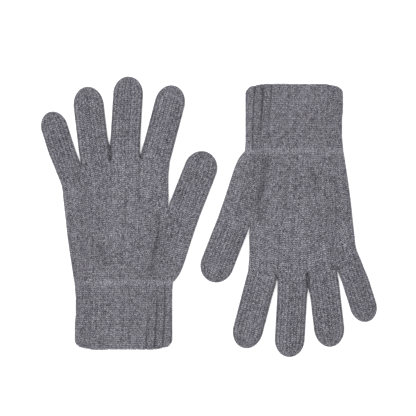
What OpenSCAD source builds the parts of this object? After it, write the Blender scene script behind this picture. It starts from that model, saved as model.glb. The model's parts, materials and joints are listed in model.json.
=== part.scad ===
// A pair of fine-knit gloves lying flat and empty, side by side and head to tail.
// Each glove is a cuff with a turned-in facing, a hand with a thumb gusset, and five
// stalls that fold up at their roots. Millimetres, +Z up, the gloves rest on Z = 0 and
// the origin lies under the middle of the pair.
//
// A glove's own frame has its origin under the middle of the cuff's folded edge, and
// +Y runs towards the fingertips. Lists of four go from the little finger to the index.

/* [Pair] */
// Clear space between the two thumbs
thumb_gap = 16; // [6:1:60]
// How far each glove is shifted towards its own fingertips
stagger = 3; // [-30:0.5:30]

/* [Knitting] */
// Thickness of one layer of knitting
knit_t = 1.2; // [0.8:0.1:1.5]
// Thickness of the hand and the stalls, laid flat
glove_h = 8; // [7:0.5:12]
// Space between a moving piece and its neighbours
joint_gap = 0.5; // [0.3:0.1:1]

/* [Cuff] */
// Width of the cuff at its folded edge, laid flat
cuff_w = 89; // [74:1:107]
// Length of the cuff from its folded edge to the wrist
cuff_l = 62; // [45:1:80]
// Thickness of the cuff at its mouth, laid flat
mouth_h = 11; // [10:0.5:14]
// Depth of the layer that is turned inside
facing_l = 30; // [12:1:38]
// Radius of the mouth's corners
mouth_corner = 4; // [1:0.5:8]
// Thickness of the yarn that links the facing to the cuff
link_d = 1; // [0.6:0.1:1.2]

/* [Hand] */
// Width of the wrist, laid flat
wrist_w = 88; // [73:1:106]
// Length from the wrist to the root of the middle finger
hand_l = 118; // [98:1:142]
// How far the middle finger stands off the cuff's centre line
middle_x = 1; // [-6:0.5:6]
// How far the hand's thumb side lies inside the index finger's root
side_inset = 1.2; // [0:0.1:4]

/* [Fingers] */
// Widths of the four finger stalls, laid flat
finger_w = [24, 27.4, 27, 27.2]; // [20:0.2:33]
// Lengths from root to tip
finger_l = [53, 63, 70, 69]; // [40:1:85]
// Directions, in degrees from +Y towards the thumb
finger_angle = [-17.6, -6.6, 3.3, 14.7]; // [-26:0.1:26]
// Space at the three forks between neighbouring fingers
fork_gap = [0.7, 0.6, 1.5]; // [0.6:0.1:3]
// How much further out each next finger begins
fork_rise = [6.3, 0.4, 0.1]; // [0:0.1:12]

/* [Thumb] */
// Width of the thumb stall, laid flat
thumb_w = 30; // [25:0.5:36]
// Length of the thumb from root to tip
thumb_l = 57.5; // [45:0.5:70]
// Direction of the thumb, in degrees from +Y
thumb_angle = 21.4; // [16:0.2:28]
// Depth of the fork between the thumb and the index finger, below the finger's root
thumb_drop = 39; // [30:1:50]
// Where the gusset's seam meets the wrist, from the cuff's centre line
gusset_foot = 26; // [15:1:32]

/* [Hidden] */
$fn = 28;
RIM_STEPS = 8; // flat steps round the rim of a pad
LITTLE = 0;
MIDDLE = 2;
INDEX = 3;
SIDES = ["left", "right"];
FINGERS = ["little_finger", "ring_finger", "middle_finger", "index_finger"];
PIECES = concat(["hand", "thumb_gusset", "thumb"], FINGERS, ["cuff", "cuff_facing", "link_yarn"]);

half_h = glove_h / 2;
stub_l = hand_l / 3; // how far a finger's tube runs back into the hand
past = 1; // how far a cut runs past what it cuts
cut_size = 2 * (cuff_l + hand_l);
GREY = [0.45, 0.445, 0.478];
DARK_GREY = [0.36, 0.355, 0.385];

// Directions along and across a stall that points at an angle from +Y
function along(angle) = [sin(angle), cos(angle)];
function across(angle) = [cos(angle), -sin(angle)];

// The finger roots follow each other from the little finger on. They are worked out
// from the first root's outer end, then moved so that the middle finger is in place.
function chain_left(i) = i == LITTLE
    ? [0, 0]
    : chain_right(i - 1) + fork_gap[i - 1] * across(finger_angle[i])
        + fork_rise[i - 1] * along(finger_angle[i]);
function chain_right(i) = chain_left(i) + finger_w[i] * across(finger_angle[i]);
function chain_root(i) = (chain_left(i) + chain_right(i)) / 2;
chain_origin = [middle_x, cuff_l + hand_l] - chain_root(MIDDLE);
function root_left(i) = chain_origin + chain_left(i);
function root_right(i) = chain_origin + chain_right(i);
function root(i) = chain_origin + chain_root(i);

// The thumb's fork lies on the hand's straight side, and its root runs outwards from it
side_x = root_right(INDEX)[0] - side_inset;
thumb_fork = [side_x + joint_gap, root_right(INDEX)[1] - thumb_drop];
thumb_root = thumb_fork + thumb_w / 2 * across(thumb_angle);

// The pair's centre lies beside the thumb's outer edge, half the gap away from it
thumb_outer = thumb_root + thumb_w / 2 * across(thumb_angle);
glove_l = cuff_l + hand_l + finger_l[MIDDLE] * cos(finger_angle[MIDDLE]);
pair_y = glove_l / 2 - stagger;
pair_x = thumb_outer[0] + thumb_gap / 2 / cos(thumb_angle) + (pair_y - thumb_outer[1]) * tan(thumb_angle);

// ---- forms ----

// Points round half a rim, from its underside to its top, outwards from a distance
function rim(reach, half, turn = 180 / RIM_STEPS) =
    [for (k = [0 : RIM_STEPS]) [reach + half * cos(k * turn - 90), half * sin(k * turn - 90)]];

// A flat disc with a round rim, centred on Z = half. The inset takes off its skin.
// Half a turn makes the round end of a stall.
module pad(at, half, inset = 0, reach = 0, turn = 360)
    translate([at[0], at[1], half])
        rotate_extrude(angle = turn)
            polygon(concat(
                reach > 0 ? [[0, inset - half]] : [],
                rim(reach, half - inset),
                reach > 0 ? [[0, half - inset]] : []
            ));

// Section of an empty tube laid flat: a bar with round ends
module flat_section(width, half, inset = 0)
    polygon(concat(
        rim(width / 2 - half, half - inset),
        [for (p = rim(width / 2 - half, half - inset)) -p]
    ));

// A straight flat tube along +Y, from one place to another
module flat_tube(width, from, to, inset = 0)
    translate([0, to, half_h])
        rotate([90, 0, 0])
            linear_extrude(to - from)
                flat_section(width, half_h, inset);

// A stall's form: a flat tube with a half-round tip
module stall_form(width, length, inset) {
    tip = length - width / 2;
    flat_tube(width, inset > 0 ? -past : joint_gap / 2, tip, inset);
    pad([0, tip], half_h, inset, width / 2 - half_h, 180);
}

module stall(width, length)
    difference() {
        stall_form(width, length, 0);
        stall_form(width, length, knit_t);
    }

module at_root(place, angle)
    translate([place[0], place[1], 0])
        rotate(-angle)
            children();

// The stretch of a finger's tube that belongs to the hand
module stub(i, inset)
    at_root(root(i), finger_angle[i])
        flat_tube(finger_w[i], -stub_l, inset > 0 ? past : -joint_gap / 2, inset);

module thumb_stub(inset)
    at_root(thumb_root, thumb_angle)
        flat_tube(thumb_w, -thumb_w / 2, inset > 0 ? past : -joint_gap / 2, inset);

// The body of the hand, from below the wrist to behind the finger roots
module palm_form(inset)
    hull() {
        for (side = [-1, 1])
            pad([side * (wrist_w / 2 - half_h), cuff_l - glove_h], half_h, inset);
        pad(root_left(LITTLE) + half_h * across(finger_angle[LITTLE])
            - stub_l * 0.6 * along(finger_angle[LITTLE]), half_h, inset);
        pad(root_right(INDEX) - half_h * across(finger_angle[INDEX])
            - stub_l * 0.3 * along(finger_angle[INDEX]), half_h, inset);
        pad([side_x - half_h, thumb_fork[1]], half_h, inset);
    }

// The swelling that carries the thumb, from its root down to the wrist
module gusset_form(inset) {
    back = thumb_root - glove_h * along(thumb_angle);
    spread = thumb_w / 2 - half_h;
    hull() {
        for (side = [-1, 1])
            pad(back + side * spread * across(thumb_angle), half_h, inset);
        pad([wrist_w / 2 - half_h, cuff_l + half_h], half_h, inset);
        pad([gusset_foot, cuff_l + half_h], half_h, inset);
    }
}

module hand_form(inset) {
    palm_form(inset);
    gusset_form(inset);
    thumb_stub(inset);
    for (i = [LITTLE : INDEX])
        stub(i, inset);
}

// Hand and gusset as one hollow shell, open at the wrist and at the five roots
module hand_shell()
    difference() {
        hand_form(0);
        hand_form(knit_t);
        translate([-cut_size / 2, cuff_l + joint_gap / 2 - cut_size, -past])
            cube([cut_size, cut_size, glove_h + 2 * past]);
    }

// Everything on the thumb's side of the gusset seam
module thumb_side() {
    run = thumb_fork - [gusset_foot, cuff_l];
    far = 2 * run + [gusset_foot, cuff_l];
    near = [gusset_foot, cuff_l] - run;
    translate([0, 0, -past])
        linear_extrude(glove_h + 2 * past)
            polygon([near, far, far + [cut_size, 0], near + [cut_size, 0]]);
}

// ---- pieces of one glove ----

module hand()
    color(GREY)
        difference() {
            hand_shell();
            thumb_side();
        }

module thumb_gusset()
    color(GREY)
        intersection() {
            hand_shell();
            thumb_side();
        }

module thumb()
    color(GREY)
        at_root(thumb_root, thumb_angle)
            stall(thumb_w, thumb_l);

module finger(i)
    color(GREY)
        at_root(root(i), finger_angle[i])
            stall(finger_w[i], finger_l[i]);

// The cuff widens and opens a little from the wrist to its mouth, and runs past both
module cuff_form(inset)
    hull()
        for (side = [-1, 1]) {
            pad([side * (wrist_w / 2 - half_h), cuff_l + half_h], half_h, inset);
            pad([side * (cuff_w / 2 - mouth_h / 2), -mouth_h / 2 - past], mouth_h / 2, inset);
        }

// Keeps what lies between two distances from the folded edge
module cuff_slice(from, to)
    translate([-cut_size / 2, from, -past])
        cube([cut_size, to - from, mouth_h + 2 * past]);

// The mouth's outline seen from above, with round corners
module mouth_outline(length)
    translate([0, 0, -past])
        linear_extrude(mouth_h + 2 * past) {
            translate([-cut_size / 2, mouth_corner])
                square([cut_size, length - mouth_corner]);
            translate([mouth_corner - cuff_w / 2, 0])
                square([cuff_w - 2 * mouth_corner, length]);
            for (side = [-1, 1])
                translate([side * (cuff_w / 2 - mouth_corner), mouth_corner])
                    circle(r = mouth_corner);
        }

// One layer of knitting that follows the cuff, at a depth below its outer face
module cuff_layer(depth, thickness)
    difference() {
        cuff_form(depth);
        cuff_form(depth + thickness);
    }

module cuff()
    color(GREY)
        intersection() {
            cuff_layer(0, knit_t);
            mouth_outline(cuff_l - joint_gap / 2);
        }

module cuff_facing()
    color(DARK_GREY)
        intersection() {
            cuff_layer(knit_t, knit_t);
            mouth_outline(facing_l);
        }

// The run of yarn that holds the facing's free edge to the inside of the cuff
module link_yarn()
    color(DARK_GREY)
        intersection() {
            cuff_layer(knit_t, link_d);
            cuff_slice(facing_l, facing_l + link_d);
        }

module piece(name) {
    if (name == "hand") hand();
    if (name == "thumb_gusset") thumb_gusset();
    if (name == "thumb") thumb();
    for (i = [LITTLE : INDEX])
        if (name == FINGERS[i]) finger(i);
    if (name == "cuff") cuff();
    if (name == "cuff_facing") cuff_facing();
    if (name == "link_yarn") link_yarn();
}

// Glove 0 points up the page. Glove 1 is the same glove, turned half round.
module place(glove)
    rotate(180 * glove)
        translate([-pair_x, -pair_y, 0])
            children();

for (glove = [0, 1])
    for (name = PIECES)
        place(glove) piece(name);
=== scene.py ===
"""Knitted gloves: the looks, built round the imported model.

Every knitted piece is a sheet of stitches. Its grid has six columns to a wale and four
rows to a course, so that each stitch's two legs and the valleys round them are modelled.
Plan positions are millimetres in one glove's own frame: the origin is the middle of the
cuff's folded edge and +Y runs to the fingertips.
"""

import json
import math

import bmesh
import bpy
import numpy as np
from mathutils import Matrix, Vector


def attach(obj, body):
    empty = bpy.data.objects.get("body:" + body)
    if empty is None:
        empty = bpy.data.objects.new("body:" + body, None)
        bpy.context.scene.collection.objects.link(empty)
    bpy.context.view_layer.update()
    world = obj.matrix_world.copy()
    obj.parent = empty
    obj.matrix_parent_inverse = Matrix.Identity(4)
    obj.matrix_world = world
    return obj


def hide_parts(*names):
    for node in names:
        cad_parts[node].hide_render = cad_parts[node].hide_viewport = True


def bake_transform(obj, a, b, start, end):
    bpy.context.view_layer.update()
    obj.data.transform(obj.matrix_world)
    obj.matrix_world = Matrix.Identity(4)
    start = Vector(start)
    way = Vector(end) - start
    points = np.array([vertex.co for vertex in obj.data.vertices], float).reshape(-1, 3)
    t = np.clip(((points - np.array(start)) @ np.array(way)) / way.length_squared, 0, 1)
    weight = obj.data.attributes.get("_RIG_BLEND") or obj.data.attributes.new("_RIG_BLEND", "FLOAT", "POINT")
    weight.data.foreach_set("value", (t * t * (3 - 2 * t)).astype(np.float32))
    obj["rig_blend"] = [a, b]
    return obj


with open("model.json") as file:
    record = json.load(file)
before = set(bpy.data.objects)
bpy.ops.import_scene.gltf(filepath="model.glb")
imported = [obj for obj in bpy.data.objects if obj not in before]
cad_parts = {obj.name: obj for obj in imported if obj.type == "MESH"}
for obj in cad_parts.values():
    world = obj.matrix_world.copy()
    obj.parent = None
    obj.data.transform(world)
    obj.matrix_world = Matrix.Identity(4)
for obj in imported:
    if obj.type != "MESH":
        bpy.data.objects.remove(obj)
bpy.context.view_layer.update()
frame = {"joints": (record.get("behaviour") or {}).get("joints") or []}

MM = 0.001
SIDES = ["left", "right"]

# ---- sizes of one glove ----

CUFF_L = 62.0
CUFF_W = 88.8
FACING_L = 30.0
WALE_COLUMNS = 6  # columns of the mesh to a wale
COURSE_ROWS = 4  # and rows to a course
CUFF_COURSE = 1.97  # spacing of the courses in the cuff
STALL_COURSE = 1.79  # and in the fingers and thumb
HAND_COURSES = 59
HAND_W = 95.0  # width of the hand above the thumb's fork
RIM_REACH = 4.0  # how far a rounded edge reaches into the flat
RIM_ARC = 5.8  # length of a rounded edge, measured round it
LIP = 1.3  # radius of the fold at the cuff's edge

# name: width, length, length of the rounded tip, wales on one face
STALLS = {
    "little": (24.0, 52.9, 15.0, 9),
    "ring": (27.4, 62.4, 17.5, 10),
    "middle": (27.0, 70.3, 16.2, 10),
    "index": (27.2, 68.6, 17.0, 10),
    "thumb": (30.0, 57.5, 16.8, 11),
}
# the hand's wales that run up to each finger; the rest of a finger's are cast on at its sides
FINGER_SHARE = {"little": 8, "ring": 8, "middle": 9, "index": 9}
FINGERS = list(FINGER_SHARE)
HAND_WALES = sum(FINGER_SHARE.values())
GUSSET_WALES = 10
RIB_WALES = 4  # three plain, one purl
RIB_START = 3  # the first purl wale
LITTLE_ROOT = (-61.6, 163.0)  # outer end of the little finger's root
FORKS = [(-39.1, 170.0), (-12.1, 176.4), (15.6, 178.2)]  # between neighbouring fingers
THUMB_FORK = (-0.9, -2.4)  # the open end of the gap beside the thumb, from the thumb's inner corner

# the outer edges, from the wrist up; the cuff's are (place along it, place across it)
LITTLE_SIDE = [(-45.0, 62), (-46.2, 70), (-48.1, 82.4), (-50.8, 100.7), (-52.9, 119), (-55.0, 138),
               (-56.6, 150.5), (-58.6, 156)]
INDEX_SIDE = [(41.0, 141), (40.9, 150), (41.0, 160)]
GUSSET_SIDE = [(45.2, 62), (49.2, 66.6), (52.4, 72), (55.8, 81), (59.2, 91.5), (63.2, 104),
               (67.0, 115)]
CUFF_LITTLE_SIDE = [(0, -44.4), (26, -44.4), (32, -43.6), (48, -43.6), (58, -44.4), (62, -45.0)]
CUFF_THUMB_SIDE = [(0, 44.4), (55, 44.4), (62, 45.2)]

HINGE = {j["name"]: j for j in frame["joints"]}
wrist = HINGE["left_wrist_fold"]["pos_m"]
ORIGIN = np.array([wrist[0] / MM, wrist[1] / MM - CUFF_L])  # of the left glove, in the row


def to_row(xy, glove):
    """Glove millimetres to row millimetres. The right glove is turned half round."""
    moved = np.asarray(xy, float) + ORIGIN
    return -moved if glove else moved


def smooth(t):
    """Rises from 0 to 1, slowly at both ends."""
    t = np.clip(t, 0.0, 1.0)
    return t * t * (3 - 2 * t)


def lerp(a, b, t):
    return a + (b - a) * t


def curve(a, leave, b, arrive, t):
    """A smooth way from a to b that leaves and arrives in the given directions."""
    return (
        a * (2 * t**3 - 3 * t**2 + 1)
        + leave * (t**3 - 2 * t**2 + t)
        + b * (3 * t**2 - 2 * t**3)
        + arrive * (t**3 - t**2)
    )


def rim(depth, reach):
    """Rises like a quarter circle from 0 at an edge to 1 at the given reach."""
    near = np.clip(depth / reach, 0, 1)
    return np.sqrt(1 - (1 - near) ** 2)


NOISE_CELLS = 160  # across the lattice of random heights


def cloth_noise(points, size, seed):
    """Smooth random heights between -1 and 1 over the plan, in lumps of the given size."""
    lattice = np.random.default_rng(seed).uniform(-1, 1, (NOISE_CELLS, NOISE_CELLS))
    at = points / size + NOISE_CELLS / 2
    cell = np.clip(np.floor(at).astype(int), 0, NOISE_CELLS - 2)
    t = smooth(at - cell)
    i, j = cell[..., 0], cell[..., 1]
    low = lerp(lattice[i, j], lattice[i + 1, j], t[..., 0])
    high = lerp(lattice[i, j + 1], lattice[i + 1, j + 1], t[..., 0])
    return lerp(low, high, t[..., 1])


# ---- plan of a glove ----


class Stall:
    """A finger or thumb: where its root is, and its outline from the root on."""

    def __init__(self, name, ease=(6.0, 6.0), nudges=()):
        self.width, self.length, self.tip, self.wales = STALLS[name]
        hinge = HINGE[f"left_{name}_fold"]
        self.root = np.array(hinge["pos_m"][:2]) / MM - ORIGIN
        self.angle = math.atan2(-hinge["axis"][1], hinge["axis"][0])
        self.across = np.array([math.cos(self.angle), -math.sin(self.angle)])
        self.along = np.array([math.sin(self.angle), math.cos(self.angle)])
        self.left = self.root - self.across * self.width / 2
        self.right = self.root + self.across * self.width / 2
        self.ease = ease  # how far from the root each side takes to straighten
        self.nudges = nudges  # side, how far out, where along, over what length

    def local(self, point):
        """A plan position as places across and along the stall."""
        away = np.asarray(point, float) - self.root
        return np.array([away @ self.across, away @ self.along])

    def place(self, x, y):
        """Places across and along the stall as plan positions."""
        return self.root + x[..., None] * self.across + y[..., None] * self.along

    def base(self, ends, wales):
        """Shares of the width, and local places, along the line where the stall begins."""
        f = section(self.width, wales * WALE_COLUMNS) / self.width + 0.5
        a, b = self.local(ends[0]), self.local(ends[1])
        return f, lerp(a[0], b[0], f), lerp(a[1], b[1], f)

    def plan(self, ends):
        """(rows, columns, 2) plan positions, from the base line to the tip."""
        f, base_x, base_y = self.base(ends, self.wales)
        side_x = (f - 0.5) * self.width
        shoulder = self.length - self.tip
        rows = COURSE_ROWS * round((shoulder - base_y.mean()) / STALL_COURSE)
        y = lerp(base_y, shoulder, np.linspace(0, 1, rows + 1)[:, None])
        straight = smooth((y - base_y) / lerp(self.ease[0], self.ease[1], f))
        x = lerp(base_x, side_x, straight)
        for side, out, centre, reach in self.nudges:
            near_side = f**3 if side > 0 else (1 - f) ** 3
            x = x + side * out * near_side * straight * np.exp(-(((y - centre) / reach) ** 2))
        quarter = math.pi / 2 * math.hypot(self.tip, self.width / 2) / math.sqrt(2)
        turns = COURSE_ROWS * round(quarter / STALL_COURSE)
        phi = np.linspace(0, math.pi / 2, turns + 1)[1:, None]
        x = np.vstack([x, side_x * np.cos(phi)])
        y = np.vstack([y, shoulder + self.tip * np.sin(phi) + 0 * side_x])
        return self.place(x, y)


SECTION_STEPS = 4000  # how finely a section is measured
STEEPEST = 1e-4  # keeps the bend at the very edge of a rim finite


def section(width, columns, left_rim=1.0, right_rim=1.0):
    """Places across a flat tube, even along the knitting that goes round its rims."""
    fine = np.linspace(0, width, SECTION_STEPS + 1)
    step = np.ones_like(fine)
    for share, edge in ((left_rim, fine), (right_rim, width - fine)):
        near = np.clip(edge / RIM_REACH, 0, 1)
        bend = RIM_ARC / RIM_REACH * 2 / math.pi / np.sqrt(np.maximum(1 - (1 - near) ** 2, STEEPEST))
        step = step + share * np.where(edge < RIM_REACH, bend - 1, 0)
    run = np.concatenate([[0], np.cumsum((step[1:] + step[:-1]) / 2)])
    return np.interp(np.linspace(0, run[-1], columns + 1), run, fine) - width / 2


def along_line(points, count):
    """Evenly spaced points along a smoothed line through the given ones."""
    points = np.asarray(points, float)
    knots = np.concatenate([[0], np.cumsum(np.linalg.norm(np.diff(points, axis=0), axis=1))])
    slope = np.gradient(points, knots, axis=0)
    s = np.linspace(0, knots[-1], count)
    i = np.clip(np.searchsorted(knots, s, side="right") - 1, 0, len(knots) - 2)
    h = (knots[i + 1] - knots[i])[:, None]
    t = ((s - knots[i]) / h[:, 0])[:, None]
    return curve(points[i], slope[i] * h, points[i + 1], slope[i + 1] * h, t)


stalls = {
    "little": Stall("little", (20.0, 6.0), [(1, 0.45, 4, 4)]),
    "ring": Stall("ring", nudges=[(-1, -0.45, -2, 4), (1, 0.92, 6.2, 5.0)]),
    "middle": Stall("middle", nudges=[(-1, 0.62, 6.2, 5.0), (1, 0.3, 6, 5)]),
    "index": Stall("index", nudges=[(-1, 0.3, 6, 5)]),
    "thumb": Stall("thumb"),
}
thumb = stalls["thumb"]
knuckles = [np.array(p, float) for p in [LITTLE_ROOT, *FORKS]] + [stalls["index"].right]
root_ends = {name: (knuckles[i], knuckles[i + 1]) for i, name in enumerate(FINGERS)}
fork = thumb.left + np.array(THUMB_FORK)
root_ends["thumb"] = (fork, thumb.right)
plans = {name: stall.plan(root_ends[name]) for name, stall in stalls.items()}

# the wrist line, shared by the hand, the gusset and the cuff
wrist_columns = (HAND_WALES + GUSSET_WALES) * WALE_COLUMNS
hand_columns = HAND_WALES * WALE_COLUMNS
wrist_w = CUFF_THUMB_SIDE[-1][1] - CUFF_LITTLE_SIDE[-1][1]
wrist_mid = (CUFF_THUMB_SIDE[-1][1] + CUFF_LITTLE_SIDE[-1][1]) / 2
wrist_x = section(wrist_w, wrist_columns) + wrist_mid
wrist_line = np.stack([wrist_x, np.full(wrist_columns + 1, CUFF_L)], 1)

# the hand's rows: the fork of the thumb falls on a row
HAND_ROWS = COURSE_ROWS * HAND_COURSES
foot = wrist_line[hand_columns]
seam_length = np.linalg.norm(fork - foot)
side_points = [fork] + INDEX_SIDE + [knuckles[-1]]
side_length = np.linalg.norm(np.diff(np.array(side_points, float), axis=0), axis=1).sum()
FORK_ROW = COURSE_ROWS * round(HAND_COURSES * seam_length / (seam_length + side_length))


def base_line(name, wales):
    """Plan positions along a stall's base line, for the piece below it."""
    _, x, y = stalls[name].base(root_ends[name], wales)
    return stalls[name].place(x, y)


SEAM_BOW = (0.8, 0.0)  # how far the gusset's seam bows out halfway
SIDE_LEAN = 0.8  # share of the index finger's slant that the hand's last wale takes
GATHER_LEAD, GATHER_RUN, RELEASE_RUN = 4, 12, 14  # rows over which columns gather at a rim


def wale_lean():
    """Directions in which the hand's wales reach the fingers: each finger's own, eased at the forks."""
    angles = [stalls[name].angle for name in FINGERS]
    column_at, lean_at, start = [], [], 0
    for i, name in enumerate(FINGERS):
        wide = FINGER_SHARE[name] * WALE_COLUMNS
        before = angles[i] if i == 0 else (angles[i - 1] + angles[i]) / 2
        column_at += [start, start + wide / 2]
        lean_at += [before, angles[i]]
        start += wide
    column_at.append(start)
    lean_at.append(angles[-1] * SIDE_LEAN)
    return np.interp(np.arange(hand_columns + 1), column_at, lean_at)


def hand_plan():
    """Rows from the wrist to the fingers' base lines, with the gusset's seam on the right."""
    left = along_line(LITTLE_SIDE + [tuple(knuckles[0])], HAND_ROWS + 1)
    seam = along_line([foot, lerp(foot, fork, 0.5) + np.array(SEAM_BOW), fork], FORK_ROW + 1)
    side = along_line(side_points, HAND_ROWS - FORK_ROW + 1)
    right = np.vstack([seam, side[1:]])
    lines = [base_line(name, share) for name, share in FINGER_SHARE.items()]
    top = np.vstack([lines[0]] + [line[1:] for line in lines[1:]])
    bottom = wrist_line[: hand_columns + 1]
    reach = np.linalg.norm(top - bottom, axis=1)[:, None]
    lean = wale_lean()
    arrive = np.stack([np.sin(lean), np.cos(lean)], 1) * reach
    leave = np.array([0.0, 1.0]) * reach
    t = np.linspace(0, 1, HAND_ROWS + 1)[:, None, None]
    plan = curve(bottom, leave, top, arrive, t)
    even = np.linspace(0, 1, hand_columns + 1)
    f = even[None, :, None]
    pull = (1 - f) ** 2 * (left[:, None] - plan[:, :1])
    plan = plan + pull + f**2 * (right[:, None] - plan[:, -1:])
    # above the thumb's fork the right side is a rim, and its columns gather there
    row = np.arange(HAND_ROWS + 1)
    gather = smooth((row - FORK_ROW + GATHER_LEAD) / GATHER_RUN)
    gather = gather * (1 - smooth((row - HAND_ROWS + RELEASE_RUN) / RELEASE_RUN))
    bunched = (section(HAND_W, hand_columns, 0.0, 1.0) + HAND_W / 2) / HAND_W
    for k in np.nonzero(gather > 0)[0]:
        at = lerp(even, bunched, gather[k])
        for axis in (0, 1):
            plan[k, :, axis] = np.interp(at, even, plan[k, :, axis])
    return plan


def gusset_plan(hand):
    """Rows from the wrist to the thumb's base line, with the hand's edge on the left."""
    rows, columns = FORK_ROW, GUSSET_WALES * WALE_COLUMNS
    left = hand[: rows + 1, -1]
    right = along_line(GUSSET_SIDE + [tuple(thumb.right)], rows + 1)
    bottom = wrist_line[hand_columns:]
    top = base_line("thumb", GUSSET_WALES)
    f = np.linspace(0, 1, columns + 1)[None, :, None]
    t = np.linspace(0, 1, rows + 1)[:, None, None]
    sides = lerp(left[:, None], right[:, None], f)
    ends = lerp(bottom[None], top[None], t)
    corners = lerp(lerp(bottom[0], bottom[-1], f), lerp(top[0], top[-1], f), t)
    return sides + ends - corners


MOUTH_SLOPE = (16.0, 3.6)  # reach and height of the mouth's rise towards each side
MOUTH_CURVE = 1.3  # how hollow that rise is
MOUTH_CORNER = (4.3, 4.0)  # reach and height of its rounded corners
MOUTH_RISE = 0.6  # how far the folded edge has drawn up
MOUTH_BAND = 26.0  # length of the cuff over which the mouth's shape comes in
RIB_CROWD = 0.042  # how far the rib's middle moves to the thumb side, as a share of the width
CROWD_RUN = 0.25  # share of the cuff's length over which it does so
RIB_TWIST = 7.5  # columns by which the rib spirals round between the wrist and the mouth
TWIST_CURVE = 1.5  # how late in the cuff most of that comes


def cuff_plan():
    """Rows from the wrist to the start of the fold at the mouth."""
    rows = COURSE_ROWS * round((CUFF_L - LIP) / CUFF_COURSE)
    y = np.linspace(CUFF_L, LIP, rows + 1)
    left = np.interp(y, *zip(*CUFF_LITTLE_SIDE))[:, None]
    right = np.interp(y, *zip(*CUFF_THUMB_SIDE))[:, None]
    share = (wrist_line[:, 0] - wrist_line[0, 0]) / wrist_w
    down = ((CUFF_L - y) / CUFF_L)[:, None]
    belly = 4 * share * (1 - share)
    x = lerp(left, right, share + RIB_CROWD * belly * smooth(down / CROWD_RUN))
    edge = np.minimum(x - left, right - x)
    lift = MOUTH_SLOPE[1] * np.clip(1 - edge / MOUTH_SLOPE[0], 0, 1) ** MOUTH_CURVE
    lift = lift + MOUTH_CORNER[1] * (1 - rim(edge, MOUTH_CORNER[0])) + MOUTH_RISE
    near = smooth((MOUTH_BAND - y) / MOUTH_BAND)[:, None]
    return np.stack([x, y[:, None] + near * lift], -1)


# how far wales and courses wander, and over what distance
WALE_WANDER = (0.2, 15)
COURSE_WANDER = (0.35, 11)
WANDER_MARGIN = (1, 6)  # where it starts, in from an edge, and how much further in it is full


def wander(plan, depth, seed):
    """Courses and wales that wander a little, as they do in soft knitting."""
    kinds = enumerate((WALE_WANDER, COURSE_WANDER))
    shift = np.stack([far * cloth_noise(plan, size, seed + i) for i, (far, size) in kinds], -1)
    return plan + shift * smooth((depth - WANDER_MARGIN[0]) / WANDER_MARGIN[1])[..., None]


plans["hand"] = hand_plan()
plans["gusset"] = gusset_plan(plans["hand"])
plans["cuff"] = cuff_plan()

MOUTH_PAST = 60.0  # the outline runs on past the mouth, which is open and has no rim


def outline():
    """The glove's edge, from the cuff's little-finger side round to its thumb side."""
    parts = [np.array([[-CUFF_W / 2, -MOUTH_PAST]]), plans["cuff"][::-3, 0], plans["hand"][1::3, 0]]
    for name in FINGERS:
        parts += [plans[name][::2, 0], plans[name][::-2, -1]]
    parts += [plans["hand"][:FORK_ROW:-3, -1], plans["thumb"][::2, 0], plans["thumb"][::-2, -1]]
    parts += [plans["gusset"][::-3, -1], plans["cuff"][1::3, -1]]
    return np.vstack([*parts, [[CUFF_W / 2, -MOUTH_PAST]]])


def distance(points, line, farthest=40.0):
    """Distance from each point to a line of points, up to the farthest that matters."""
    flat = points.reshape(-1, 2)
    best = np.full(len(flat), farthest**2)
    lo, hi = flat.min(0) - farthest, flat.max(0) + farthest
    for a, b in zip(line[:-1], line[1:]):
        if (np.maximum(a, b) < lo).any() or (np.minimum(a, b) > hi).any():
            continue
        run = b - a
        size = run @ run
        if size == 0:
            continue
        away = flat - a
        t = np.clip(away @ run / size, 0, 1)
        gap = away - t[:, None] * run
        np.minimum(best, np.einsum("ij,ij->i", gap, gap), out=best)
    return np.sqrt(best).reshape(points.shape[:-1])


EDGE = outline()
depth_in = {name: distance(plan, EDGE) for name, plan in plans.items()}
# a depth is exactly 0 where the two layers meet
for name in STALLS:
    depth_in[name][:, [0, -1]] = 0
    depth_in[name][-1] = 0
fork_columns = np.cumsum(list(FINGER_SHARE.values())) * WALE_COLUMNS
depth_in["hand"][:, 0] = 0
depth_in["hand"][FORK_ROW:, -1] = 0
depth_in["hand"][-1, [0, *fork_columns]] = 0
depth_in["gusset"][:, -1] = 0
depth_in["gusset"][-1, 0] = 0
depth_in["cuff"][:, [0, -1]] = 0

# ---- height of the two layers ----

RIM_Z = 2.9  # height of the rims
TOP_Z = 6.0  # of the top layer just inside them
PILLOW = (0.9, 10)  # how much higher it swells, and how far in
FLOOR_GAP = 0.46  # height of the bottom layer
BOTTOM_REACH = 3.2  # how far its rounded edge reaches in
RIM_SWELL = 0.5  # share of the cuff's extra thickness that its rims take
SWELL = [(-5, 2.5), (3, 2.3), (26, 2.0), (31, 1.1), (48, 0.6), (62, 0.0)]  # along the cuff
SAG = [(0.32, 26), (0.2, 11), (0.08, 4.5)]  # heights and sizes of the top's soft lumps
SAG_MARGIN = 7  # they fade out this near an edge

# lines along which the top layer sinks: points, depth, half width, and how much shade is painted there
CREASES = [
    ([(30.5, 123), (32.5, 113), (31.6, 101), (28.6, 88), (26.6, 76), (26.0, 68)], 2.2, 2.8, 0.34),
    ([(25.0, 117), (24.0, 106)], 0.6, 3.0, 0.2),
    ([(-20.5, 94), (-18.5, 88), (-15.6, 79)], 1.05, 3.0, 0.2),
    ([(0, 59), (-17, 48), (-35, 35)], 0.6, 3.2, 0.0),
    ([(33, 150), (12, 154), (-8, 152)], 0.3, 5.0, 0.0),
]
# the same for lines along which the rims of two fingers press together
SLITS = [
    ([(-12.6, 186), (-12.2, 180), (-12.1, 173.5)], 4.8, 0.9, 1.6),
    ([(15.6, 179), (16.6, 174.5)], 2.4, 0.9, 0.8),
    ([(-38.9, 171), (-37.6, 168)], 1.8, 0.9, 0.4),
]


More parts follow.
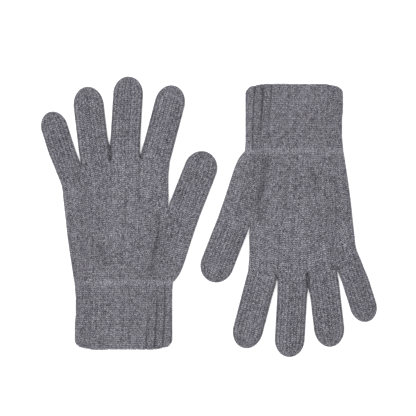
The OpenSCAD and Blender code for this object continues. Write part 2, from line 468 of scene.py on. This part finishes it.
def swell(y):
    """Extra thickness of the cuff, which is two layers deep over its facing."""
    return np.interp(y, *zip(*SWELL))


def pressed(plan, depth):
    """How far the top layer sinks along its creases and slits, and how much shade is painted there."""
    sink = np.zeros(depth.shape)
    crease_shade = np.zeros(depth.shape)
    # a crease is rounded and fades out towards an edge; a slit is sharp and starts at one
    for lines, power, clear in ((CREASES, 2, 7.0), (SLITS, 1, 1.2)):
        for points, deep, half, shade in lines:
            near = np.exp(-((distance(plan, np.array(points, float)) / half) ** power))
            sink += smooth(depth / clear) * deep * near
            crease_shade += shade * near
    return sink, crease_shade


def layers(plan, depth, seed):
    """Heights of the top and bottom layers at each plan position."""
    extra = swell(plan[..., 1])
    edge_z = RIM_Z + extra * RIM_SWELL
    top = edge_z + (TOP_Z + extra - edge_z) * rim(depth, RIM_REACH)
    top = top + PILLOW[0] * (1 - np.exp(-np.maximum(depth - RIM_REACH, 0) / PILLOW[1]))
    soft = sum(high * cloth_noise(plan, size, seed + i) for i, (high, size) in enumerate(SAG))
    top = top + smooth(depth / SAG_MARGIN) * soft
    top = top - pressed(plan, depth)[0]
    bottom = lerp(edge_z, FLOOR_GAP, rim(depth, BOTTOM_REACH))
    return top, bottom


# ---- stitches ----

V_RISE = 0.45  # how far a stitch's legs rise between its foot and its outer edge, in courses
UNEVEN = 0.04  # how much the stitches differ in height
WALE_PROFILE = [-0.30, 0.08, 0.17, -0.06, 0.17, 0.08]  # heights across a wale
COURSE_PROFILE = [0.11, 0.07, -0.24, 0.07]  # and along it
# seeds of the two gloves' unevenness
WANDER_SEEDS, SAG_SEEDS, RIB_SEEDS = (20, 21), (40, 90), (77, 78)
GROOVE = 1.8  # how deep a purl wale lies in the rib
GROOVE_HALF = 0.32  # its half width, in wales
OPEN_RIB = 0.25  # how much of that is left where the rib lies open
UNDER_RIB = 0.5  # and underneath, where the glove lies on the table
UNDER_RUN = 12  # columns over which it weakens there
# across the cuff, the rib starts to close here at the mouth, this much further over at the wrist,
# and is closed after this width
CLOSE_FROM, CLOSE_SHIFT, CLOSE_RUN = 6, 22, 14
MOUTH_DIP = 0.45  # how far the folded edge dips at a purl wale where the rib lies open
DIP_CURVE = 30  # distance over which the dips deepen to the thumb side
FACING_PROFILE = [-0.16, 0.1, 0.1]  # heights across a wale of the facing
FACING_COURSE = 0.07  # and up and down along it
FACING_RIB = 0.3  # how far its purl wales stand in
FOLD_ROWS = 3  # rows in each half of the fold at the mouth
FOLD_RELIEF = [0.8, 0.45, 0.0]  # share of the relief that is left in the outer half's rows
LINK_R = 0.38  # radius of the linking yarn
LINK_OUT = 0.35  # how far from the facing it lies, outwards and towards the fingers
LINK_SWAY = 0.45  # how far it winds to and fro
LINK_SINK = 0.15  # how deep it is pressed in
LINK_SIDES = 6


def lift_legs(points, ends=(4, 4), strength=1.0):
    """Slides the columns along the wales so that the rows become rows of Vs."""
    rows, columns = points.shape[:2]
    u = np.arange(columns) / WALE_COLUMNS
    chevron = np.abs(2 * (u % 1) - 1) * V_RISE * COURSE_ROWS
    k = np.arange(rows)[:, None]
    hold = np.clip(k / ends[0], 0, 1) * np.clip((rows - 1 - k) / ends[1], 0, 1) * strength
    at = np.clip(k + chevron[None] * hold, 0, rows - 1)
    low = np.minimum(at.astype(int), rows - 2)
    part = (at - low)[..., None]
    j = np.arange(columns)[None]
    return lerp(points[low, j], points[low + 1, j], part)


def normals(points, up):
    """Unit normals of a sheet of points, pointing up or down."""
    n = np.cross(np.gradient(points, axis=1), np.gradient(points, axis=0))
    size = np.linalg.norm(n, axis=-1, keepdims=True)
    n = np.where(size > 1e-9, n / np.maximum(size, 1e-9), [0, 0, 1.0])
    flip = np.sign(np.where(np.abs(n[..., 2:]) > 1e-3, n[..., 2:], 1.0))
    return n * flip * up


def relief(rows, columns, seed):
    """Height of the stitches over the mean surface of their sheet."""
    wale = np.array(WALE_PROFILE)[np.arange(columns) % WALE_COLUMNS]
    course = np.array(COURSE_PROFILE)[np.arange(rows) % COURSE_ROWS][:, None]
    rng = np.random.default_rng(seed)
    uneven = rng.normal(0, UNEVEN, (rows // COURSE_ROWS + 2, columns // WALE_COLUMNS + 2))
    return wale + course + uneven.repeat(COURSE_ROWS, 0).repeat(WALE_COLUMNS, 1)[:rows, :columns]


def rib_grooves(wale):
    """1 in the middle of each purl wale, 0 between them."""
    off = (wale - RIB_START - 0.5 + RIB_WALES / 2) % RIB_WALES - RIB_WALES / 2
    return np.exp(-((off / GROOVE_HALF) ** 2))


# ---- meshes ----

# where the wales and courses of each piece start, in the count that its material reads
STALL_U, STALL_U_STEP, STALL_V = 60, 20, 100
BOTTOM_U = 200  # how much further on the bottom layer's wales are counted
FACING_U = 400
WELD = 0.000002  # points closer than this are one, in metres
SLIVER = 0.0000005  # and edges shorter than this are none


def knit_sheet(bm, points, uvs, inside_out=False, crease_shade=None):
    """Adds a grid of stitches to the bmesh, laid on the given points."""
    rows, columns = points.shape[:2]
    made = bmesh.ops.create_grid(bm, x_segments=columns - 1, y_segments=rows - 1, size=0.5)["verts"]
    uv = bm.loops.layers.uv.verify()
    faces = list({f for v in made for f in v.link_faces})
    where = {v: (round((v.co.y + 0.5) * (rows - 1)), round((v.co.x + 0.5) * (columns - 1))) for v in made}
    for f in faces:
        for loop in f.loops:
            loop[uv].uv = uvs[where[loop.vert]]
    for v, place in where.items():
        v.co = points[place] * MM
    # the top layer carries the shade painted along its creases and slits
    if crease_shade is not None:
        crease_shade_layer = bm.verts.layers.float["pressed"]
        for v, place in where.items():
            v[crease_shade_layer] = crease_shade[place]
    if inside_out:
        bmesh.ops.reverse_faces(bm, faces=faces)


def stitch_uv(rows, columns, u_start=0.0, v_start=0.0):
    """UV positions counted in wales and courses; whole numbers lie in the valleys."""
    u = u_start + np.arange(columns) / WALE_COLUMNS
    v = v_start + np.arange(rows) / COURSE_ROWS + 0.5
    return np.stack(np.broadcast_arrays(u[None, :], v[:, None]), -1)


def finish_mesh(name, bm, material):
    """Welds a bmesh and makes it a smooth piece of the given material."""
    bmesh.ops.remove_doubles(bm, verts=bm.verts, dist=WELD)
    bmesh.ops.dissolve_degenerate(bm, edges=bm.edges, dist=SLIVER)
    mesh = bpy.data.meshes.new(name)
    bm.to_mesh(mesh)
    bm.free()
    mesh.shade_smooth()
    mesh.materials.append(material)
    piece = bpy.data.objects.new(name, mesh)
    bpy.context.scene.collection.objects.link(piece)
    return piece


def solid(plan, z, glove):
    """Plan positions and heights as points of the row."""
    return np.concatenate([to_row(plan, glove), z[..., None]], -1)


def two_layers(name, plan_name, glove, material, uv_start=(0.0, 0.0)):
    """A piece of the glove with a top and a bottom layer that meet at its rims."""
    depth = depth_in[plan_name]
    plan = wander(plans[plan_name], depth, WANDER_SEEDS[glove])
    rows, columns = depth.shape
    seed = 1000 * glove + sum(map(ord, plan_name))  # each piece's stitches are its own
    strength = np.ones((rows, 1))
    if plan_name in stalls:  # the stitches shrink away where the tip is gathered
        wide = np.linalg.norm(plan[:, 0] - plan[:, -1], axis=1) / stalls[plan_name].width
        strength = np.clip(wide, 0, 1)[:, None]
    # shade painted along the creases and slits, read by the material
    crease_shade = pressed(plan, depth)[1]
    bm = bmesh.new()
    bm.verts.layers.float.new("pressed")
    for count, (z, up) in enumerate(zip(layers(plan, depth, SAG_SEEDS[glove]), (1, -1))):
        points = lift_legs(solid(plan, z, glove), strength=strength)
        height = relief(rows, columns, seed + count) * strength
        # no relief where the sheet meets another one
        height[[0, -1]] = 0
        height[:, [0, -1]] = 0
        points = points + normals(points, up) * height[..., None]
        uvs = stitch_uv(rows, columns, uv_start[0] + count * BOTTOM_U, uv_start[1])
        knit_sheet(bm, points, uvs, inside_out=(up < 0), crease_shade=crease_shade if up > 0 else None)
    return finish_mesh(name, bm, material)


def loop_sections(plan, depth, glove):
    """Closed sections of the cuff: the top layer from left to right, then the bottom one back."""
    top, bottom = layers(plan, depth, SAG_SEEDS[glove])
    up = solid(plan, top, glove)
    down = solid(plan, bottom, glove)
    return np.concatenate([up, down[:, ::-1][:, 1:]], 1)


def loop_normals(points):
    """Outward normals of closed sections, square to the cuff's length."""
    around = np.roll(points[:, :-1], -1, 1) - np.roll(points[:, :-1], 1, 1)
    n = np.stack([-around[..., 2], 0 * around[..., 2], around[..., 0]], -1)
    n = n / np.maximum(np.linalg.norm(n, axis=-1, keepdims=True), 1e-9)
    flip = np.sign(n[:, points.shape[1] // 4, 2])[:, None, None]
    n = n * flip
    for _ in range(3):
        n = (np.roll(n, 1, 1) + 2 * n + np.roll(n, -1, 1)) / 4
    n = n / np.linalg.norm(n, axis=-1, keepdims=True)
    return np.concatenate([n, n[:, :1]], 1)


def twist(loops, turn):
    """Slides closed sections round by a number of columns each."""
    columns = loops.shape[1] - 1
    at = (np.arange(columns + 1)[None] + turn[:, None]) % columns
    low = at.astype(int)
    k = np.arange(len(loops))[:, None]
    return lerp(loops[k, low], loops[k, low + 1], (at - low)[..., None])


def mouthward(glove):
    """The direction of the mouth along the row."""
    return -1 if glove == 0 else 1


def cuff_loops(glove):
    """The cuff's closed sections, their normals, and the way from the last one to the fold's edge."""
    depth = depth_in["cuff"]
    plan = wander(plans["cuff"], depth, WANDER_SEEDS[glove])
    loops = loop_sections(plan, depth, glove)
    loops = twist(loops, -RIB_TWIST * np.linspace(0, 1, len(loops)) ** TWIST_CURVE)
    across = np.concatenate([plan[-1, :, 0], plan[-1, ::-1, 0][1:]])
    edge = np.zeros((1, len(across), 3))
    dip = MOUTH_DIP * rib_grooves(wales_of(loops)) * (1 + smooth(across / DIP_CURVE))
    edge[..., 1] = mouthward(glove) * (LIP - dip)
    return loops, loop_normals(loops), edge, across


def wales_of(sections):
    """Where each column of some sections lies, in wales."""
    return np.arange(sections.shape[1]) / WALE_COLUMNS


def folded(loops, edge, turns):
    """Sections that roll over the mouth, at given turns, and how far each is set in."""
    rows = np.concatenate([loops[-1:] + edge * math.sin(turn) for turn in turns])
    inset = np.array([LIP * (1 - math.cos(turn)) for turn in turns])
    return rows, inset[:, None, None]


def rib_cuff(glove, loops, out, edge, across, material):
    """The outer layer and the outer half of the fold."""
    fold, fold_inset = folded(loops, edge, np.linspace(0, math.pi / 2, FOLD_ROWS + 1)[1:])
    base = np.concatenate([loops, fold])
    aim = np.concatenate([out, out[-1:].repeat(FOLD_ROWS, 0)])
    inset = np.concatenate([np.zeros((len(loops), 1, 1)), fold_inset])
    rows, columns = base.shape[:2]
    # the rib lies open at the wrist's little-finger side and closes towards the thumb and the mouth
    up = 1 - np.linspace(0, 1, rows)[:, None]
    closed = lerp(OPEN_RIB, 1.0, smooth((across - CLOSE_FROM - CLOSE_SHIFT * up) / CLOSE_RUN))
    closed = closed * lerp(1.0, UNDER_RIB, smooth((np.arange(columns) - columns / 2) / UNDER_RUN))
    height = relief(rows, columns, RIB_SEEDS[glove]) - GROOVE * rib_grooves(wales_of(base)) * closed
    ends = np.ones(rows)
    ends[:COURSE_ROWS] = np.arange(COURSE_ROWS) / COURSE_ROWS
    ends[-FOLD_ROWS:] = FOLD_RELIEF
    height = height * ends[:, None]
    height[:, -1] = height[:, 0]
    points = lift_legs(base, ends=(COURSE_ROWS, COURSE_ROWS + FOLD_ROWS))
    points = points + aim * (height[..., None] - inset)
    bm = bmesh.new()
    knit_sheet(bm, points, stitch_uv(rows, columns), inside_out=True)
    return finish_mesh(f"{SIDES[glove]}_rib_cuff", bm, material)


def turned_facing(glove, loops, out, edge, material):
    """Goes on from the fold's edge, up inside the cuff, with half as many rows and columns."""
    fold, fold_inset = folded(loops, edge, np.linspace(math.pi / 2, math.pi, FOLD_ROWS + 1)[:-1])
    up_rows = 2 * round(FACING_L / CUFF_COURSE)
    last = len(loops) - 1
    source = np.linspace(last, last - (FACING_L - LIP) / (CUFF_L - LIP) * last, up_rows)
    low = np.minimum(source.astype(int), last - 1)
    layer = lerp(loops[low], loops[low + 1], (source - low)[:, None, None])
    base = np.concatenate([fold, layer])[:, ::2]
    aim = np.concatenate([out[-1:].repeat(FOLD_ROWS, 0), out[low]])[:, ::2]
    inset = np.concatenate([fold_inset, np.full((up_rows, 1, 1), 2 * LIP)])
    rows, columns = base.shape[:2]
    height = np.array(FACING_PROFILE)[np.arange(columns) % len(FACING_PROFILE)]
    height = height + FACING_RIB * rib_grooves(wales_of(loops)[::2])
    height = height + np.where(np.arange(rows) % 2 == 0, FACING_COURSE, -FACING_COURSE)[:, None]
    height[0] = 0
    height[:, -1] = height[:, 0]
    points = base - aim * (inset + height[..., None])
    uvs = stitch_uv(rows, columns, FACING_U) * [WALE_COLUMNS / len(FACING_PROFILE), COURSE_ROWS / 2]
    bm = bmesh.new()
    knit_sheet(bm, points, uvs, inside_out=True)
    facing = finish_mesh(f"{SIDES[glove]}_turned_facing", bm, material)
    return facing, points[-1, :-1], aim[-1, :-1]


def linking_yarn(glove, free_edge, out, material):
    """A thin yarn that winds to and fro across the facing's free edge."""
    mouth = np.array([0, mouthward(glove), 0])
    path = (free_edge + out * LINK_OUT - mouth * LINK_OUT)[::2]
    out = out[::2]
    count = len(path)
    sway = np.where(np.arange(count) % 2 == 0, LINK_SWAY, -LINK_SWAY)[:, None]
    path = path - mouth * sway - out * LINK_SINK
    along = np.roll(path, -1, 0) - np.roll(path, 1, 0)
    along /= np.linalg.norm(along, axis=1, keepdims=True)
    beside = np.cross(along, out)
    bm = bmesh.new()
    made = bmesh.ops.create_grid(bm, x_segments=count, y_segments=LINK_SIDES, size=0.5)["verts"]
    for v in made:
        i = round((v.co.x + 0.5) * count) % count
        turn = 2 * math.pi * (round((v.co.y + 0.5) * LINK_SIDES) % LINK_SIDES) / LINK_SIDES
        v.co = (path[i] + LINK_R * (math.cos(turn) * out[i] + math.sin(turn) * beside[i])) * MM
    bmesh.ops.remove_doubles(bm, verts=bm.verts, dist=WELD / 2)
    bmesh.ops.recalc_face_normals(bm, faces=bm.faces)
    return finish_mesh(f"{SIDES[glove]}_linking_yarn", bm, material)


# ---- materials ----


class Wire:
    """A shader value that can be used in Python expressions."""

    def __init__(self, shader, socket):
        self.shader, self.socket = shader, socket

    def math(self, operation, *others):
        return self.shader.node("ShaderNodeMath", {"operation": operation}, [self, *others])

    def __add__(self, other):
        return self.math("ADD", other)

    def __sub__(self, other):
        return self.math("SUBTRACT", other)

    def __mul__(self, other):
        return self.math("MULTIPLY", other)

    def __truediv__(self, other):
        return self.math("DIVIDE", other)

    def __rsub__(self, other):
        return self.shader.node("ShaderNodeMath", {"operation": "SUBTRACT"}, [other, self])

    __radd__ = __add__
    __rmul__ = __mul__


class Shader:
    """Builds one material, node by node."""

    def __init__(self, name):
        self.material = bpy.data.materials.new(name)
        self.material.use_nodes = True
        self.tree = self.material.node_tree
        self.tree.nodes.clear()

    def node(self, kind, settings=None, inputs=(), output=0):
        """Adds a node with its settings, and values or links for its sockets."""
        n = self.tree.nodes.new(kind)
        for key, value in (settings or {}).items():
            if key == "stops":
                ramp = n.color_ramp
                while len(ramp.elements) < len(value):
                    ramp.elements.new(0.5)
                for element, (at, colour) in zip(ramp.elements, value):
                    element.position = at
                    element.color = (*colour, 1)
            else:
                setattr(n, key, value)
        pairs = inputs.items() if isinstance(inputs, dict) else enumerate(inputs)
        for key, value in pairs:
            if isinstance(value, Wire):
                self.tree.links.new(value.socket, n.inputs[key])
            elif value is not None:
                n.inputs[key].default_value = value
        return Wire(self, n.outputs[output]) if n.outputs else None

    def noise(self, where, kind):
        """Smooth noise of a given scale, detail and roughness."""
        inputs = {"Vector": where, "Scale": kind[0], "Detail": kind[1], "Roughness": kind[2]}
        return self.node("ShaderNodeTexNoise", {}, inputs, "Fac")

    def chance(self, x, y):
        """A random value for each pair of whole numbers."""
        cell = self.node("ShaderNodeCombineXYZ", {}, [x, y, 0.0])
        return self.node("ShaderNodeTexWhiteNoise", {"noise_dimensions": "2D"}, {"Vector": cell}, "Value")

    def finish(self, inputs):
        """Ends the material in a Principled surface."""
        surface = self.node("ShaderNodeBsdfPrincipled", {}, inputs, "BSDF")
        self.node("ShaderNodeOutputMaterial", {}, {"Surface": surface})


MIX_FACTOR, MIX_A, MIX_B, MIX_RESULT = 0, 6, 7, 2  # sockets of a Mix node set to colours

# how much each kind of unevenness changes the yarn's tone
LEG, WALE, RUN, PATCHES, MELANGE, FIBRES = 0.4, 0.14, 0.2, 0.2, 0.35, 7.1
# scale, detail and roughness of the smooth kinds, and of the fuzz on the yarn
RUN_NOISE = (1.0, 1.0, 0.5)
PATCH_NOISE = (55.0, 2.0, 0.5)
MELANGE_NOISE = (420.0, 3.0, 0.75)
FIBRE_NOISE = (1500.0, 3.0, 0.8)
FUZZ_NOISE = (3200.0, 2.0, 0.6)
RUN_STITCHES = 4  # how many stitches of a course share a shade
LIGHTER_BAND_AT, LIGHTER_BAND_FADE, LIGHTER_BAND = 1.6, 0.6, 0.08  # the lighter courses beside the wrist line: where, how sharp, how light

WALE_VALLEY_SHADE = 0.95  # how dark the shade painted in the valley between two wales is in the fingers
SOFT_VALLEY_SHADE = 0.5  # how much of that is left in the palm and the cuff
CRISP_FROM, CRISP_RATE = 44, 0.05  # the course where the shade painted in the palm's valleys deepens, and how fast
LEG_VALLEY_SHADE = 0.2  # how dark the shade painted in the valley between a stitch's own legs is
COURSE_VALLEY_SHADE = 0.95  # and the one between two courses
JOIN_FROM, JOIN_LEAST = 0.7, 0.15  # how that one fades in over a piece's first courses
PURL_NARROW = 2.2  # a purl wale's shadow is this many times narrower than two wales
PURL_LEAST, PURL_RUN = 0.2, 1.05  # how dark it is at least, and how much that varies along it
DARKEST = 0.9  # the most that painted shade can do
PAINTED_SHADE_TINT = (0.35, 0.35, 0.37, 1)  # what full painted shade would leave of the yarn's colour
YARN_TWIST = (25.13, 6.28)  # radians of the yarn's twist to a course, and across a leg
TWIST_HIGH, FUZZ_HIGH, FIBRE_HIGH = 0.22, 0.7, 0.5  # heights in the bump

# the yarn's greys, from the darkest fibres to the lightest
GREYS = [
    (0.0, (0.035, 0.033, 0.042)),
    (0.3, (0.105, 0.1005, 0.124)),
    (0.5, (0.185, 0.177, 0.212)),
    (0.72, (0.29, 0.28, 0.323)),
    (1.0, (0.55, 0.538, 0.594)),
]


def yarn_tone(s, place, u, v, run, fibres):
    """How light the yarn is: by stitch, by wale, by run of yarn and by its mix of fibres."""
    leg = s.chance((u * 2).math("FLOOR"), v.math("FLOOR"))
    wale = s.chance(u.math("FLOOR"), 7.0)
    patches = s.noise(place, PATCH_NOISE)
    melange = s.noise(place, MELANGE_NOISE)
    tone = 0.5 + (leg - 0.5) * LEG + (wale - 0.5) * WALE + (run - 0.5) * RUN
    tone = tone + (patches - 0.5) * PATCHES + (melange - 0.5) * MELANGE + (fibres - 0.5) * FIBRES
    # the courses beside the wrist line are made lighter
    lighter_band = 1 - (v - LIGHTER_BAND_AT).math("ABSOLUTE") * LIGHTER_BAND_FADE
    return tone + lighter_band.math("MAXIMUM", 0.0) * LIGHTER_BAND


def purl_shadow(u, v, run):
    """How much a purl wale is shaded where the rib is closed."""
    off = (u - (RIB_START + 0.5 - RIB_WALES / 2)).math("FLOORED_MODULO", RIB_WALES) - RIB_WALES / 2
    wales = HAND_WALES + GUSSET_WALES
    across = (wales - (u - wales).math("ABSOLUTE")) * (CUFF_W / wales) - CUFF_W / 2
    up = 1 - v * (CUFF_COURSE / CUFF_L)
    closed = (across - CLOSE_FROM - up * CLOSE_SHIFT) / CLOSE_RUN
    closed = closed.math("MAXIMUM", OPEN_RIB).math("MINIMUM", 1.0)
    narrow = (1 - off.math("ABSOLUTE") * PURL_NARROW).math("MAXIMUM", 0.0)
    return narrow * closed * (PURL_LEAST + run * PURL_RUN)


def stitch_valley_shade(u, v, beside):
    """How much shade is painted on the yarn round a stitch's legs, where its neighbours shade it."""
    below = (v.math("FRACT") - 0.5).math("ABSOLUTE") * 2
    crisp = ((v - CRISP_FROM) * CRISP_RATE).math("MAXIMUM", SOFT_VALLEY_SHADE).math("MINIMUM", 1.0)
    valley_shade = beside.math("POWER", 4.0) * crisp * WALE_VALLEY_SHADE + (1 - beside).math("POWER", 5.0) * LEG_VALLEY_SHADE
    join = v.math("FLOORED_MODULO", STALL_V) - JOIN_FROM
    join = join.math("MAXIMUM", JOIN_LEAST).math("MINIMUM", 1.0)
    return valley_shade + below.math("POWER", 2.5) * join * COURSE_VALLEY_SHADE


def wool(name, greys, rib=False):
    """Melange wool: dark, mid and light fibres spun together, a different share in each stitch, with shade
    painted into the valleys round the stitches and along the creases.
    """
    s = Shader(name)
    place = s.node("ShaderNodeTexCoord", output="Object")
    apart = s.node("ShaderNodeSeparateXYZ", {}, [s.node("ShaderNodeTexCoord", output="UV")])
    u, v = (Wire(s, apart.socket.node.outputs[axis]) for axis in "XY")
    run = s.noise(s.node("ShaderNodeCombineXYZ", {}, [u * (1 / RUN_STITCHES), v, 0.0]), RUN_NOISE)
    fibres = s.noise(place, FIBRE_NOISE)
    colour = s.node("ShaderNodeValToRGB", {"stops": greys}, [yarn_tone(s, place, u, v, run, fibres)])
    beside = (u.math("FRACT") - 0.5).math("ABSOLUTE") * 2
    shade = stitch_valley_shade(u, v, beside)
    if rib:
        shade = shade + purl_shadow(u, v, run)
    else:  # the shade painted along the creases and slits is added too
        shade = shade + s.node("ShaderNodeAttribute", {"attribute_name": "pressed"}, output="Fac")
    inputs = {MIX_FACTOR: shade.math("MINIMUM", DARKEST), MIX_A: colour, MIX_B: PAINTED_SHADE_TINT}
    multiply = {"data_type": "RGBA", "blend_type": "MULTIPLY"}
    shaded = s.node("ShaderNodeMix", multiply, inputs, MIX_RESULT)
    twist = (v * YARN_TWIST[0] + beside * YARN_TWIST[1]).math("SINE")
    height = twist * TWIST_HIGH + s.noise(place, FUZZ_NOISE) * FUZZ_HIGH + fibres * FIBRE_HIGH
    bump_inputs = {"Strength": 0.55, "Distance": 0.00022, "Height": height}
    s.finish({
        "Base Color": shaded,
        "Roughness": 0.92,
        "Specular IOR Level": 0.18,
        "Sheen Weight": 0.22,
        "Sheen Roughness": 0.55,
        "Sheen Tint": (0.85, 0.85, 0.9, 1),
        "Normal": s.node("ShaderNodeBump", {}, bump_inputs, "Normal"),
    })
    return s.material


def shades(scale):
    """The greys as a ramp's stops, all made lighter or darker."""
    return [(at, tuple(c * scale for c in colour)) for at, colour in GREYS]


materials = {
    "jersey": wool("grey_melange_jersey", shades(0.835)),
    "rib": wool("grey_melange_rib", shades(0.856), rib=True),
    # the facing is the same yarn as the rib, its greys painted darker for the shade inside the cuff
    "facing": wool("grey_melange_facing_painted_shade", shades(0.68)),
    "link_yarn": wool("grey_link_yarn", shades(0.56)),
}

# ---- the two gloves ----

BLEND_RUN = 12.0  # length over which a stall bends at its root, and the cuff at the wrist

jersey = materials["jersey"]
for glove, side in enumerate(SIDES):
    hand = two_layers(f"{side}_knitted_hand", "hand", glove, jersey)
    gusset = two_layers(f"{side}_knitted_gusset", "gusset", glove, jersey, (HAND_WALES, 0))
    for piece, node in ((hand, "hand"), (gusset, "thumb_gusset")):
        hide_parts(f"{side}_{node}")
        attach(piece, f"{side}_hand")
    for i, (name, stall) in enumerate(stalls.items()):
        node = "thumb" if name == "thumb" else f"{name}_finger"
        uv_start = (STALL_U + STALL_U_STEP * i, STALL_V)
        piece = two_layers(f"{side}_knitted_{name}", name, glove, jersey, uv_start)
        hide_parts(f"{side}_{node}")
        start = to_row(stall.root, glove)
        end = to_row(stall.root + stall.along * BLEND_RUN, glove)
        z = HINGE[f"{side}_{name}_fold"]["pos_m"][2]
        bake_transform(piece, f"{side}_hand", f"{side}_{node}", (*(start * MM), z), (*(end * MM), z))
    loops, out, edge, across = cuff_loops(glove)
    cuff = rib_cuff(glove, loops, out, edge, across, materials["rib"])
    facing, free_edge, edge_out = turned_facing(glove, loops, out, edge, materials["facing"])
    link = linking_yarn(glove, free_edge, edge_out, materials["link_yarn"])
    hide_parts(f"{side}_cuff")
    z = HINGE[f"{side}_wrist_fold"]["pos_m"][2]
    start, end = to_row([0, CUFF_L], glove), to_row([0, CUFF_L - BLEND_RUN], glove)
    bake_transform(cuff, f"{side}_hand", f"{side}_cuff", (*(start * MM), z), (*(end * MM), z))
    for piece, node, slot in ((facing, "cuff_facing", "facing"), (link, "link_yarn", "link_yarn")):
        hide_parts(f"{side}_{node}")
        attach(piece, f"{side}_cuff")

# ---- floor, light and camera ----

floor_bm = bmesh.new()
bmesh.ops.create_grid(floor_bm, x_segments=1, y_segments=1, size=3.0)
floor_shader = Shader("white_table")
floor_shader.finish({
    "Base Color": (0.9, 0.9, 0.9, 1),
    "Roughness": 0.9,
    "Specular IOR Level": 0.1,
    "Emission Color": (1, 1, 1, 1),
    "Emission Strength": 0.45,
})
finish_mesh("table_top", floor_bm, floor_shader.material)

scene = bpy.context.scene
scene.view_settings.view_transform = "Standard"
world = bpy.data.worlds.new("studio")
scene.world = world
world.use_nodes = True
background = world.node_tree.nodes["Background"]
background.inputs["Color"].default_value = (1, 1, 1, 1)
background.inputs["Strength"].default_value = 0.75


def soft_box(name, place, size, power):
    """A square lamp that shines at the middle of the table."""
    lamp = bpy.data.lights.new(name, "AREA")
    lamp.shape = "SQUARE"
    lamp.size = size
    lamp.energy = power
    holder = bpy.data.objects.new(name, lamp)
    scene.collection.objects.link(holder)
    holder.location = place
    holder.rotation_euler = (-Vector(place)).to_track_quat("-Z", "Y").to_euler()


soft_box("key", (-0.7, 0.6, 1.6), 1.2, 16)
soft_box("fill", (0.7, -0.5, 1.6), 1.4, 7)

LENS = 200.0
SENSOR = 36.0
VIEW_WIDTH = 0.381  # width of the scene across the picture
VIEW_CENTRE = (-0.0008, 0.0080)  # the place that the camera stands straight above
camera_data = bpy.data.cameras.new("camera")
camera_data.lens = LENS
camera_data.sensor_width = SENSOR
camera_data.clip_end = 20
camera = bpy.data.objects.new("camera", camera_data)
scene.collection.objects.link(camera)
camera.location = (*VIEW_CENTRE, VIEW_WIDTH * LENS / SENSOR)
scene.camera = camera
